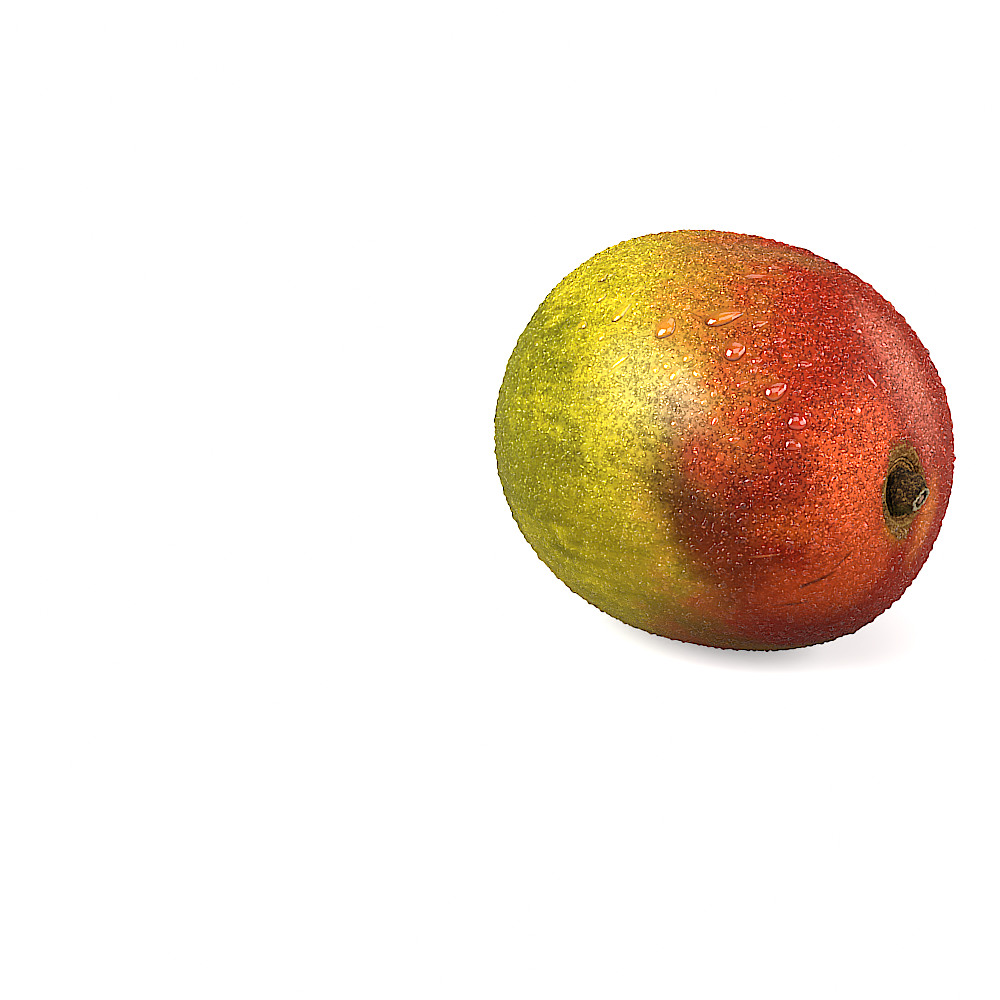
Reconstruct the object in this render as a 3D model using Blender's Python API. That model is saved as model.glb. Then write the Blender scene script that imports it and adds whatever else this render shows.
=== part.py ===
# A whole mango lying on its side, with the short woody stub of its cut stem.
# Metres, +Z up. +X runs along the fruit towards the stem. The origin is on the surface
# that the fruit lies on, under the middle of its box.

import math

import bmesh
import bpy
from mathutils import Matrix, Vector

# Fruit body, before the stem hollow and the rest spot are cut into it
LENGTH = 0.110           # apex to stem end
BREADTH = 0.0958         # across, lying on its side
THICKNESS = 0.0929       # upright, cheek to cheek
END_FULLNESS = 0.035     # share by which the long profile is fuller than an ellipse
SECTION_LEANNESS = 0.0234  # share by which the cross-section is leaner than an ellipse
STEM_END_TAPER = -0.0266   # share by which the section grows towards the stem end
SHOULDER_SIDE = -0.0074  # how far the stem end stands off the long axis, sideways
SHOULDER_RISE = -0.0032  # and upwards
APEX_SIDE = 0.0070       # how far the apex end stands off the long axis, sideways

# Blunt beak near the apex and the shallow dip beside it: angle off the apex, angular width, height
BEAK = {"side": 14.0, "up": -4.0, "width": 9.0, "height": 0.0014}
DIP = {"side": 36.0, "up": -6.0, "width": 13.0, "height": -0.0009}

# Place of the stem, as angles from the long axis, and the way its foot and its cut end face
STEM_SIDE = -0.9
STEM_UP = 6.1
FOOT_YAW = -0.9
FOOT_PITCH = 5.3
CUT_YAW = 5.9
CUT_PITCH = -20.6

# Teardrop hollow round the stem: flat floor, and a rim drawn out to a tip at the top
HOLLOW_DEPTH = 0.0015
FLOOR_RADIUS = 0.0055
RIM_RADIUS = 0.0069
RIM_SIDE = 0.0009        # the rim reaches further out on the +Y side
RIM_TIP = 0.0026         # and further still at the top
TIP_SHARPNESS = 4

# Flat rest spot at the lowest point
REST_CUT = 0.0005

# Stem stub, turned about its axis and bent over
STEM_GAP = 0.0003        # between the foot of the stem and the floor of the hollow
STEM_LENGTH = 0.0057
COLLAR_RADIUS = 0.00505
BARREL_RADIUS = 0.0045
CUT_RADIUS = 0.0027
STEM_LOBES = 3           # the stub is slightly lobed, not quite round
LOBE_HEIGHT = 0.035      # as a share of the radius

# Mesh
AROUND = 76              # sides of the body round the stem
FLOOR_SWING = 6.3        # degrees from the stem to the ring at the edge of the hollow's floor
HOLLOW_STEP = 0.75       # degrees between rings where the hollow starts
STEP_GROWTH = 1.12
BODY_STEP = 3.7
STEM_SIDES = 28


def heading(yaw, pitch):
    """Unit vector turned by yaw from +X towards +Y, then raised by pitch, in degrees."""
    yaw = math.radians(yaw)
    pitch = math.radians(pitch)
    level = math.cos(pitch)
    return Vector((level * math.cos(yaw), level * math.sin(yaw), math.sin(pitch)))


def smooth_step(share):
    share = min(max(share, 0.0), 1.0)
    return share * share * (3.0 - 2.0 * share)


def swelling(direction, spot):
    """Height of a rounded bump or dip, given in spot, at a direction from the centre."""
    middle = heading(180.0 - spot["side"], spot["up"])
    off = math.degrees(middle.angle(direction))
    return spot["height"] * math.exp(-(off / spot["width"]) ** 2)


def body_point(direction):
    """Point of the smooth body that a unit direction from its centre leads to."""
    swing = math.acos(min(max(direction.x, -1.0), 1.0))
    around = math.atan2(direction.z, direction.y)
    full = 1.0 + END_FULLNESS * (1.0 - math.cos(4.0 * swing)) / 2.0
    lean = 1.0 - SECTION_LEANNESS * (1.0 - math.cos(4.0 * around)) / 2.0
    along = math.cos(swing) * full
    across = math.sin(swing) * full * lean * (1.0 + STEM_END_TAPER * along)
    to_stem = max(along, 0.0) ** 3
    to_apex = max(-along, 0.0) ** 2
    point = Vector((
        LENGTH / 2.0 * along,
        BREADTH / 2.0 * across * math.cos(around) + SHOULDER_SIDE * to_stem + APEX_SIDE * to_apex,
        THICKNESS / 2.0 * across * math.sin(around) + SHOULDER_RISE * to_stem,
    ))
    return point + direction * (swelling(direction, BEAK) + swelling(direction, DIP))


def stem_frame():
    """Axes at the middle of the hollow's floor: X out of the fruit, Y sideways, Z up the skin."""
    outward = heading(FOOT_YAW, FOOT_PITCH)
    sideways = Vector((0.0, 0.0, 1.0)).cross(outward).normalized()
    upward = outward.cross(sideways)
    floor = body_point(heading(STEM_SIDE, STEM_UP)) - outward * HOLLOW_DEPTH
    turn = Matrix((outward, sideways, upward)).transposed()
    return Matrix.Translation(floor) @ turn.to_4x4()


def rim_distance(clock):
    """Distance from the stem's axis to the rim of the hollow; clock is 0 at the top."""
    tip = max(math.cos(clock), 0.0) ** TIP_SHARPNESS
    return RIM_RADIUS + RIM_SIDE * math.sin(clock) + RIM_TIP * tip


def skin_point(direction, at_stem, to_stem):
    """Point of the body with the stem hollow pressed into it."""
    point = body_point(direction)
    local = to_stem @ point
    if local.x < -LENGTH / 4.0:
        return point
    off = math.hypot(local.y, local.z)
    rim = rim_distance(math.atan2(local.y, local.z))
    local.x *= 1.0 - smooth_step((rim - off) / (rim - FLOOR_RADIUS))
    return at_stem @ local


def ring_swings():
    """Angles from the stem to each ring of the body mesh, closest together round the hollow."""
    swings = [FLOOR_SWING / 2.0, FLOOR_SWING]
    step = HOLLOW_STEP
    while swings[-1] + 1.5 * step < 180.0:
        swings.append(swings[-1] + step)
        step = min(step * STEP_GROWTH, BODY_STEP)
    return [math.radians(swing) for swing in swings]


def join_rings(bm, rings, first, last):
    """Faces between rings of vertices, closed with a fan to a single vertex at each end."""
    sides = len(rings[0])
    for i in range(sides):
        j = (i + 1) % sides
        bm.faces.new((first, rings[0][i], rings[0][j]))
        for near, far in zip(rings, rings[1:]):
            bm.faces.new((near[i], far[i], far[j], near[j]))
        bm.faces.new((rings[-1][i], last, rings[-1][j]))


def finish_object(name, bm, material, crease_angle):
    """Turn the bmesh into a shaded object with its material."""
    bmesh.ops.recalc_face_normals(bm, faces=bm.faces[:])
    mesh = bpy.data.meshes.new(name)
    bm.to_mesh(mesh)
    bm.free()
    mesh.shade_smooth()
    mesh.set_sharp_from_angle(angle=math.radians(crease_angle))
    mesh.materials.append(material)
    part = bpy.data.objects.new(name, mesh)
    bpy.context.scene.collection.objects.link(part)
    return part


def make_material(name, color, roughness, coat):
    material = bpy.data.materials.new(name)
    material.use_nodes = True
    shader = material.node_tree.nodes["Principled BSDF"]
    shader.inputs["Base Color"].default_value = color
    shader.inputs["Roughness"].default_value = roughness
    shader.inputs["Metallic"].default_value = 0.0
    shader.inputs["Coat Weight"].default_value = coat
    material.diffuse_color = color
    return material


def make_fruit(at_stem):
    """The fruit in one piece: body, stem hollow and flat rest spot."""
    to_stem = at_stem.inverted()
    pole = heading(STEM_SIDE, STEM_UP)
    turn = Vector((1.0, 0.0, 0.0)).rotation_difference(pole).to_matrix()
    bm = bmesh.new()
    rings = []
    for swing in ring_swings():
        ring = []
        for i in range(AROUND):
            around = 2.0 * math.pi * i / AROUND
            off = math.sin(swing)
            direction = turn @ Vector((math.cos(swing), off * math.cos(around), off * math.sin(around)))
            ring.append(bm.verts.new(skin_point(direction, at_stem, to_stem)))
        rings.append(ring)
    stem_pole = bm.verts.new(skin_point(pole, at_stem, to_stem))
    far_pole = bm.verts.new(skin_point(-pole, at_stem, to_stem))
    join_rings(bm, rings, stem_pole, far_pole)

    lowest = min(vertex.co.z for vertex in bm.verts)
    cut = bmesh.ops.bisect_plane(
        bm,
        geom=bm.verts[:] + bm.edges[:] + bm.faces[:],
        plane_co=(0.0, 0.0, lowest + REST_CUT),
        plane_no=(0.0, 0.0, -1.0),
        clear_outer=True,
    )
    rim = [item for item in cut["geom_cut"] if isinstance(item, bmesh.types.BMEdge)]
    bmesh.ops.contextual_create(bm, geom=rim)
    bmesh.ops.remove_doubles(bm, verts=bm.verts[:], dist=0.00005)
    skin = make_material("mango_skin", (0.72, 0.16, 0.04, 1.0), 0.38, 0.4)
    return finish_object("fruit", bm, skin, 50.0)


def stem_profile():
    """Radius and height pairs up the stub: two collars, a tapering barrel, a rim and a core."""
    groove = COLLAR_RADIUS - 0.0005
    upper = COLLAR_RADIUS - 0.0003
    neck = BARREL_RADIUS - 0.00015
    waist = (BARREL_RADIUS + CUT_RADIUS) / 2.0 + 0.0003
    top = STEM_LENGTH
    return [
        (COLLAR_RADIUS - 0.0002, 0.0),
        (COLLAR_RADIUS, 0.0004),
        (COLLAR_RADIUS - 0.0001, 0.0008),
        (groove, 0.0010),
        (upper, 0.0013),
        (upper - 0.0001, 0.0016),
        (neck, 0.0018),
        (BARREL_RADIUS, 0.0022),
        (BARREL_RADIUS - 0.0003, 0.55 * top),
        (waist, 0.76 * top),
        (CUT_RADIUS + 0.0002, 0.92 * top),
        (CUT_RADIUS, top),
        (0.80 * CUT_RADIUS, top),
        (0.72 * CUT_RADIUS, top - 0.0005),
        (0.50 * CUT_RADIUS, top - 0.0005),
        (0.42 * CUT_RADIUS, top - 0.0001),
    ]


def bent_frame(height):
    """Axes of the stub at a height above its foot, bent from the foot's way to the cut's."""
    foot = heading(FOOT_YAW, FOOT_PITCH)
    bend = foot.rotation_difference(heading(CUT_YAW, CUT_PITCH))
    steps = 8
    place = Vector()
    for i in range(steps):
        share = (i + 0.5) / steps * height / STEM_LENGTH
        place += (Matrix.Identity(3).to_quaternion().slerp(bend, share) @ foot) * (height / steps)
    turn = Matrix.Identity(3).to_quaternion().slerp(bend, height / STEM_LENGTH)
    return place, turn


def make_stem(at_stem):
    """The woody stub: rings of a turned profile along a bent axis."""
    axes = at_stem.to_3x3()
    base = at_stem.translation + axes.col[0] * STEM_GAP
    bm = bmesh.new()
    rings = []
    for radius, height in stem_profile():
        place, turn = bent_frame(height)
        ring = []
        for i in range(STEM_SIDES):
            around = 2.0 * math.pi * i / STEM_SIDES
            lobed = 1.0 - LOBE_HEIGHT * (1.0 - math.cos(STEM_LOBES * around)) / 2.0
            spoke = axes @ Vector((0.0, math.cos(around), math.sin(around)))
            ring.append(bm.verts.new(base + place + turn @ spoke * (radius * lobed)))
        rings.append(ring)
    foot = bm.verts.new(base)
    place, turn = bent_frame(STEM_LENGTH)
    core = bm.verts.new(base + place)
    join_rings(bm, rings, foot, core)
    wood = make_material("stem_wood", (0.16, 0.11, 0.05, 1.0), 0.8, 0.0)
    return finish_object("stem", bm, wood, 40.0)


def stand_on_origin(parts):
    """Move the parts so that the box round them stands on the origin."""
    points = [vertex.co for part in parts for vertex in part.data.vertices]
    lows = [min(point[axis] for point in points) for axis in range(3)]
    highs = [max(point[axis] for point in points) for axis in range(3)]
    shift = Vector(((lows[0] + highs[0]) / -2.0, (lows[1] + highs[1]) / -2.0, -lows[2]))
    for part in parts:
        part.data.transform(Matrix.Translation(shift))


def main():
    for leftover in list(bpy.data.objects):
        bpy.data.objects.remove(leftover, do_unlink=True)
    at_stem = stem_frame()
    fruit = make_fruit(at_stem)
    stem = make_stem(at_stem)
    stand_on_origin([fruit, stem])


main()
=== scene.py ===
import math

import bpy
import numpy as np
from mathutils import Matrix, Quaternion, Vector, noise
from mathutils.bvhtree import BVHTree


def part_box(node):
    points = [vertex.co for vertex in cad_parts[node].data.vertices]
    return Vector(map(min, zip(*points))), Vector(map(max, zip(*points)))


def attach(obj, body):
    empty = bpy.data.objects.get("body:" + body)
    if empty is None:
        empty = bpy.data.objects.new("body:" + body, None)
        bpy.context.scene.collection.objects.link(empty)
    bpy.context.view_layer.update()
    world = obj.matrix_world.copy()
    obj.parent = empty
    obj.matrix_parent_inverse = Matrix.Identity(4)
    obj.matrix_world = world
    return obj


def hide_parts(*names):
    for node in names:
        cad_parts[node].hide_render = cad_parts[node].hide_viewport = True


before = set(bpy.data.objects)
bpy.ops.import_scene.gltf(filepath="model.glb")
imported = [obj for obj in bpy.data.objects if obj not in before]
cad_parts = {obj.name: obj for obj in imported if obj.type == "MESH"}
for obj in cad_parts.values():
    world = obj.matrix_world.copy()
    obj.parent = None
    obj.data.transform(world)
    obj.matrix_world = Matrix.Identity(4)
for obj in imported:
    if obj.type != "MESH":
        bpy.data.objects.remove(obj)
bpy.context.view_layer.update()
scene = bpy.context.scene
scene.view_settings.view_transform = "Standard"
scene.view_settings.look = "None"

millimetre = 0.001
farShare = -60.0    # depth in the hollow given to points on the other side of the fruit

# Form of the fruit, as built in the frame
body = {
    "length": 0.110,
    "breadth": 0.0958,
    "thickness": 0.0929,
    "endFullness": 0.035,
    "sectionLeanness": 0.0234,
    "stemEndTaper": -0.0266,
    "shoulderSide": -0.0074,
    "shoulderRise": -0.0032,
    "apexSide": 0.0070,
    "restCut": 0.0005,
}
beak = {"side": 14.0, "up": -4.0, "width": 9.0, "height": 0.0014}
dip = {"side": 36.0, "up": -6.0, "width": 13.0, "height": -0.0009}

# Teardrop hollow round the stem
hollow = {
    "side": -0.9,            # place on the fruit, degrees from the long axis
    "up": 6.1,
    "yaw": -0.9,             # way that its floor faces
    "pitch": 5.3,
    "depth": 0.0015,
    "floorRadius": 0.0055,
    "rimRadius": 0.0069,
    "rimSide": 0.0009,
    "rimTip": 0.0026,
    "tipSharpness": 4,
    "lipHeight": 0.00022,
    "lipWidth": 0.00055,
    "corkRelief": 0.00030,
}

skinMesh = {
    "around": 340,
    "firstSteps": 10,        # rings under the stem
    "floorSwing": 6.3,       # degrees
    "fineStep": 0.16,
    "growth": 1.045,
    "coarseStep": 0.80,
    "swellHeight": 0.00016,  # slow unevenness of the skin
    "swellScale": 38.0,
    "corkScale": 900.0,
    "corkBelow": -8.0,       # no relief of the hollow further out than this
    "corkOverlap": 0.3,
    "lipShift": 0.0003,
    "lipRagged": (0.8, 0.6),
    "gapLimit": 0.05,
}

camera = {
    "azimuth": 42.5,
    "elevation": 18.0,
    "distance": 0.6272,      # from the middle of the fruit, along the view
    "fruitPixel": (722.55, 440.7),
    "lens": 100.0,
    "sensor": 36.0,
    "frameSize": 1000.0,
}


def note(text):
    print("mango:", text)


# Colours are picked as 0-255 display values
def paint(red, green, blue):
    def linear(value):
        value = value / 255.0
        return value / 12.92 if value <= 0.04045 else ((value + 0.055) / 1.055) ** 2.4
    return (linear(red), linear(green), linear(blue), 1.0)


def heading(yaw, pitch):
    yaw = math.radians(yaw)
    pitch = math.radians(pitch)
    return Vector((math.cos(pitch) * math.cos(yaw), math.cos(pitch) * math.sin(yaw), math.sin(pitch)))


def smoothStep(share):
    share = np.clip(share, 0.0, 1.0)
    return share * share * (3.0 - 2.0 * share)


# Form of the skin, for many directions at once

def swelling(directions, spot):
    middle = np.array(heading(180.0 - spot["side"], spot["up"]))
    off = np.degrees(np.arccos(np.clip(directions @ middle, -1.0, 1.0)))
    return spot["height"] * np.exp(-(off / spot["width"]) ** 2)


def bodyPoints(directions):
    swing = np.arccos(np.clip(directions[:, 0], -1.0, 1.0))
    around = np.arctan2(directions[:, 2], directions[:, 1])
    full = 1.0 + body["endFullness"] * (1.0 - np.cos(4.0 * swing)) / 2.0
    lean = 1.0 - body["sectionLeanness"] * (1.0 - np.cos(4.0 * around)) / 2.0
    along = np.cos(swing) * full
    across = np.sin(swing) * full * lean * (1.0 + body["stemEndTaper"] * along)
    toStem = np.clip(along, 0.0, None) ** 3
    toApex = np.clip(-along, 0.0, None) ** 2
    side = body["shoulderSide"] * toStem + body["apexSide"] * toApex
    points = np.stack([
        body["length"] / 2.0 * along,
        body["breadth"] / 2.0 * across * np.cos(around) + side,
        body["thickness"] / 2.0 * across * np.sin(around) + body["shoulderRise"] * toStem,
    ], axis=1)
    raised = swelling(directions, beak) + swelling(directions, dip)
    return points + directions * raised[:, None]


# Axes at the hollow's floor as columns: out of the fruit, sideways, up the skin
def hollowAxes():
    outward = heading(hollow["yaw"], hollow["pitch"])
    sideways = Vector((0.0, 0.0, 1.0)).cross(outward).normalized()
    upward = outward.cross(sideways)
    pole = np.array([heading(hollow["side"], hollow["up"])])
    floor = bodyPoints(pole)[0] - np.array(outward) * hollow["depth"]
    return floor, np.array([outward, sideways, upward]).T


floorPlace, floorAxes = hollowAxes()


def rimDistance(clock):
    tip = np.clip(np.cos(clock), 0.0, None) ** hollow["tipSharpness"]
    return hollow["rimRadius"] + hollow["rimSide"] * np.sin(clock) + hollow["rimTip"] * tip


# Skin with its hollow, and how deep in the hollow each point is: 0 at the rim, 1 on the floor
def skinPoints(directions):
    points = bodyPoints(directions)
    local = (points - floorPlace) @ floorAxes
    off = np.hypot(local[:, 1], local[:, 2])
    rim = rimDistance(np.arctan2(local[:, 1], local[:, 2]))
    share = (rim - off) / (rim - hollow["floorRadius"])
    far = local[:, 0] < -body["length"] / 4.0
    share[far] = farShare
    local[:, 0] *= np.where(far, 1.0, 1.0 - smoothStep(share))
    pressed = local @ floorAxes.T + floorPlace
    return np.where(far[:, None], points, pressed), share, rim - off


def skinNormals(directions, reach=0.004):
    helper = np.where(np.abs(directions[:, 2:3]) < 0.9, [[0.0, 0.0, 1.0]], [[1.0, 0.0, 0.0]])
    first = np.cross(directions, helper)
    first /= np.linalg.norm(first, axis=1)[:, None]
    second = np.cross(directions, first)
    across = bodyPoints(unit(directions + first * reach)) - bodyPoints(unit(directions - first * reach))
    upward = bodyPoints(unit(directions + second * reach)) - bodyPoints(unit(directions - second * reach))
    normals = unit(np.cross(across, upward))
    facing = np.sign(np.sum(normals * directions, axis=1))
    return normals * facing[:, None]


def unit(vectors):
    return vectors / np.linalg.norm(vectors, axis=1)[:, None]


def meshObject(name, points, faces, material):
    mesh = bpy.data.meshes.new(name)
    mesh.from_pydata([tuple(point) for point in points], [], faces)
    mesh.validate()
    mesh.shade_smooth()
    mesh.materials.append(material)
    made = bpy.data.objects.new(name, mesh)
    scene.collection.objects.link(made)
    return made


def markPoints(thing, name, values):
    mark = thing.data.attributes.new(name, "FLOAT", "POINT")
    mark.data.foreach_set("value", values.astype(np.float32))


# Faces between rings of equal length, with a fan to the first and the last point
# The rings run down from the first point, or up from it
def ringFaces(ringCount, sides, upward=False):
    faces = []
    for i in range(sides):
        j = (i + 1) % sides
        faces.append((0, 1 + i, 1 + j))
        for ring in range(ringCount - 1):
            near = 1 + ring * sides
            far = near + sides
            faces.append((near + i, far + i, far + j, near + j))
        near = 1 + (ringCount - 1) * sides
        faces.append((near + i, 1 + ringCount * sides, near + j))
    return [tuple(reversed(face)) for face in faces] if upward else faces


# Nodes

def addNode(tree, kind, inputs=None, **settings):
    made = tree.nodes.new(kind)
    for key, value in settings.items():
        setattr(made, key, value)
    for key, value in (inputs or {}).items():
        if isinstance(value, bpy.types.NodeSocket):
            tree.links.new(value, made.inputs[key])
        else:
            made.inputs[key].default_value = value
    return made


def doMath(tree, operation, first, second=0.0, third=0.0, clamp=False):
    return addNode(
        tree, "ShaderNodeMath", {0: first, 1: second, 2: third}, operation=operation, use_clamp=clamp
    ).outputs[0]


def vectorMath(tree, operation, first, second=(0.0, 0.0, 0.0), scale=None):
    inputs = {0: first, 1: second}
    if scale is not None:
        inputs["Scale"] = scale
    made = addNode(tree, "ShaderNodeVectorMath", inputs, operation=operation)
    return made.outputs["Value"] if operation in ("LENGTH", "DOT_PRODUCT", "DISTANCE") else made.outputs[0]


def blendColor(tree, share, first, second, kind="MIX"):
    made = addNode(tree, "ShaderNodeMix", data_type="RGBA", blend_type=kind)
    for socket, value in ((made.inputs[0], share), (made.inputs[6], first), (made.inputs[7], second)):
        if isinstance(value, bpy.types.NodeSocket):
            tree.links.new(value, socket)
        else:
            socket.default_value = value
    return made.outputs[2]


def spread(tree, value, lowFrom, highFrom, lowTo=0.0, highTo=1.0, smooth=True):
    return addNode(
        tree, "ShaderNodeMapRange",
        {"Value": value, "From Min": lowFrom, "From Max": highFrom, "To Min": lowTo, "To Max": highTo},
        interpolation_type="SMOOTHSTEP" if smooth else "LINEAR",
    ).outputs["Result"]


def inverse(tree, value):
    return doMath(tree, "SUBTRACT", 1.0, value)


# Start value with weighted values added to it, in the order given
def addUp(tree, total, parts):
    for value, weight in parts:
        total = doMath(tree, "MULTIPLY_ADD", value, weight, total)
    return total


def multiply(tree, product, *factors):
    for factor in factors:
        product = doMath(tree, "MULTIPLY", product, factor)
    return product


def noiseOutputs(tree, place, scale, detail, roughness, distortion=0.0):
    return addNode(tree, "ShaderNodeTexNoise", {
        "Vector": place, "Scale": scale, "Detail": detail, "Roughness": roughness, "Distortion": distortion,
    }).outputs


def readMark(tree, name):
    return addNode(tree, "ShaderNodeAttribute", attribute_name=name).outputs["Fac"]


def placeOutput(tree):
    coordinates = addNode(tree, "ShaderNodeTexCoord")
    return vectorMath(tree, "SCALE", coordinates.outputs["Object"], scale=1.0 / millimetre)


def newGroup(name, inputs, outputs):
    tree = bpy.data.node_groups.new(name, "ShaderNodeTree")
    for label, kind, default in inputs:
        socket = tree.interface.new_socket(name=label, in_out="INPUT", socket_type=kind)
        if default is not None:
            socket.default_value = default
    for label, kind in outputs:
        tree.interface.new_socket(name=label, in_out="OUTPUT", socket_type=kind)
    source = tree.nodes.new("NodeGroupInput")
    target = tree.nodes.new("NodeGroupOutput")
    return tree, source.outputs, target.inputs


def useGroup(tree, group, inputs):
    made = tree.nodes.new("ShaderNodeGroup")
    made.node_tree = group
    for key, value in inputs.items():
        if isinstance(value, bpy.types.NodeSocket):
            tree.links.new(value, made.inputs[key])
        else:
            made.inputs[key].default_value = value
    return made.outputs


# A soft-edged patch of skin round a centre, longer along one direction, its edge broken up by noise
def makePatchGroup():
    tree, given, result = newGroup(
        "Skin patch",
        [("Place", "NodeSocketVector", None), ("Centre", "NodeSocketVector", None),
         ("Along", "NodeSocketVector", None), ("Reach", "NodeSocketFloat", 10.0),
         ("Stretch", "NodeSocketFloat", 1.0), ("Softness", "NodeSocketFloat", 0.5),
         ("Ragged", "NodeSocketFloat", 0.2), ("Breakup", "NodeSocketFloat", 0.0)],
        [("Mask", "NodeSocketFloat")],
    )
    away = vectorMath(tree, "SUBTRACT", given["Place"], given["Centre"])
    lengthwise = vectorMath(tree, "DOT_PRODUCT", away, given["Along"])
    squeeze = doMath(tree, "SUBTRACT", 1.0, doMath(tree, "DIVIDE", 1.0, given["Stretch"]))
    pulled = vectorMath(tree, "SCALE", given["Along"], scale=doMath(tree, "MULTIPLY", lengthwise, squeeze))
    distance = vectorMath(tree, "LENGTH", vectorMath(tree, "SUBTRACT", away, pulled))
    share = doMath(tree, "DIVIDE", distance, given["Reach"])
    share = doMath(tree, "MULTIPLY_ADD", given["Breakup"], given["Ragged"], share)
    inner = doMath(tree, "SUBTRACT", 1.0, given["Softness"])
    mask = doMath(tree, "SUBTRACT", 1.0, spread(tree, share, inner, 1.0))
    tree.links.new(mask, result["Mask"])
    return tree


beadVariety = 0.9
leastBead = 0.55


# Scattered beads: how far off the nearest one is, as a share of its own size, and its random values
def beadShare(tree, place, density, size):
    cells = addNode(tree, "ShaderNodeTexVoronoi", {"Vector": place, "Scale": density}, feature="F1")
    chance = addNode(tree, "ShaderNodeSeparateColor", {0: cells.outputs["Color"]})
    ownSize = doMath(tree, "MULTIPLY_ADD", chance.outputs[1], beadVariety, leastBead)
    ownSize = doMath(tree, "MULTIPLY", ownSize, size)
    return doMath(tree, "DIVIDE", cells.outputs["Distance"], ownSize), chance


# Small round dots scattered over a surface, some of them missing
def makeDotsGroup():
    tree, given, result = newGroup(
        "Scattered dots",
        [("Place", "NodeSocketVector", None), ("Spacing", "NodeSocketFloat", 2.0),
         ("Size", "NodeSocketFloat", 0.2), ("Softness", "NodeSocketFloat", 0.4),
         ("Missing", "NodeSocketFloat", 0.3)],
        [("Mask", "NodeSocketFloat")],
    )
    density = doMath(tree, "DIVIDE", 1.0, given["Spacing"])
    share, chance = beadShare(tree, given["Place"], density, given["Size"])
    there = doMath(tree, "GREATER_THAN", chance.outputs[0], given["Missing"])
    mask = inverse(tree, spread(tree, share, inverse(tree, given["Softness"]), 1.0))
    tree.links.new(multiply(tree, mask, there), result["Mask"])
    return tree


# Mist of tiny beads: each with a painted shade rim, darker on the side away from the light, and a painted
# glint on the side that the light comes from
def makeMistGroup():
    tree, given, result = newGroup(
        "Dew mist with painted glints and shade",
        [("Place", "NodeSocketVector", None), ("Toward Light", "NodeSocketVector", (0.0, 0.0, 1.0)),
         ("Spacing", "NodeSocketFloat", 0.8), ("Size", "NodeSocketFloat", 0.36),
         ("Glint Size", "NodeSocketFloat", 0.5)],
        [("Painted Shade Rim", "NodeSocketFloat"), ("Glint", "NodeSocketFloat"), ("Dome", "NodeSocketFloat")],
    )
    density = doMath(tree, "DIVIDE", 1.0, given["Spacing"])
    shift = multiply(tree, given["Size"], given["Spacing"], 0.45)
    shifted = vectorMath(tree, "SCALE", given["Toward Light"], scale=shift)
    moved = vectorMath(tree, "SUBTRACT", given["Place"], shifted)
    share = beadShare(tree, given["Place"], density, given["Size"])[0]
    movedShare = beadShare(tree, moved, density, given["Size"])[0]
    # Painted shade round the bead's edge, stronger on the side away from the light
    offEdge = doMath(tree, "ABSOLUTE", doMath(tree, "SUBTRACT", share, 1.0))
    rimShade = inverse(tree, spread(tree, offEdge, 0.08, 0.55))
    farSide = spread(tree, doMath(tree, "SUBTRACT", movedShare, share), -0.3, 0.3, 0.4, 1.0)
    tree.links.new(multiply(tree, rimShade, farSide), result["Painted Shade Rim"])
    # Painted glint, moved toward the light
    fromGlint = doMath(tree, "DIVIDE", movedShare, given["Glint Size"])
    tree.links.new(inverse(tree, spread(tree, fromGlint, 0.4, 1.0)), result["Glint"])
    dome = doMath(tree, "SUBTRACT", 1.0, doMath(tree, "POWER", share, 2.0), clamp=True)
    tree.links.new(dome, result["Dome"])
    return tree


# Dry corky crust, used on the scar round the stem and on the stem's bark
def makeCorkGroup():
    tree, given, result = newGroup(
        "Cork crust",
        [("Place", "NodeSocketVector", None), ("Scale", "NodeSocketFloat", 1.0),
         ("Dark", "NodeSocketColor", (0.02, 0.01, 0.005, 1.0)),
         ("Middle", "NodeSocketColor", (0.1, 0.07, 0.03, 1.0)),
         ("Pale", "NodeSocketColor", (0.4, 0.3, 0.15, 1.0))],
        [("Color", "NodeSocketColor"), ("Height", "NodeSocketFloat")],
    )
    coarse = addNode(tree, "ShaderNodeTexNoise", {
        "Vector": given["Place"], "Scale": given["Scale"], "Detail": 6.0, "Roughness": 0.65,
    })
    plates = addNode(tree, "ShaderNodeTexVoronoi", {
        "Vector": given["Place"], "Scale": doMath(tree, "MULTIPLY", given["Scale"], 1.7),
    }, feature="DISTANCE_TO_EDGE")
    cracks = spread(tree, plates.outputs["Distance"], 0.0, 0.12)
    height = doMath(tree, "MULTIPLY", coarse.outputs[0], doMath(tree, "MULTIPLY_ADD", cracks, 0.6, 0.4))
    low = blendColor(tree, spread(tree, height, 0.16, 0.42), given["Dark"], given["Middle"])
    color = blendColor(tree, spread(tree, height, 0.44, 0.66), low, given["Pale"])
    tree.links.new(color, result["Color"])
    tree.links.new(height, result["Height"])
    return tree


patchGroup = makePatchGroup()
dotsGroup = makeDotsGroup()
mistGroup = makeMistGroup()
corkGroup = makeCorkGroup()


# Studio: pale floor, pale surround, soft boxes round the camera's azimuth
studio = {
    "floorSize": 8.0,
    "floorColor": paint(250, 250, 250),
    "floorGlow": (0.35, 1.0),    # near and far: seen by the camera only, so that the floor stays white
    "glowReach": (0.35, 1.5),
    "floorBounce": paint(150, 148, 146),
    "surround": 0.08,
    "crispness": 0.15,
}
softBoxes = [
    {"name": "windowBox", "from": (-60, 31), "distance": 0.8, "width": 0.46, "height": 0.58, "power": 10.2},
    {"name": "rimBox", "from": (98.0, 22.0), "distance": 0.90, "width": 0.5, "height": 0.6, "power": 6.0},
    {"name": "fillBox", "from": (56.0, 22.0), "distance": 1.20, "width": 1.0, "height": 0.7, "power": 6.4},
    {"name": "frontBox", "from": (6.0, 56.0), "distance": 1.20, "width": 0.8, "height": 0.6, "power": 3.0},
    {"name": "topBox", "from": (150.0, 70.0), "distance": 1.0, "width": 0.7, "height": 0.7, "power": 1.6},
]


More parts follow.
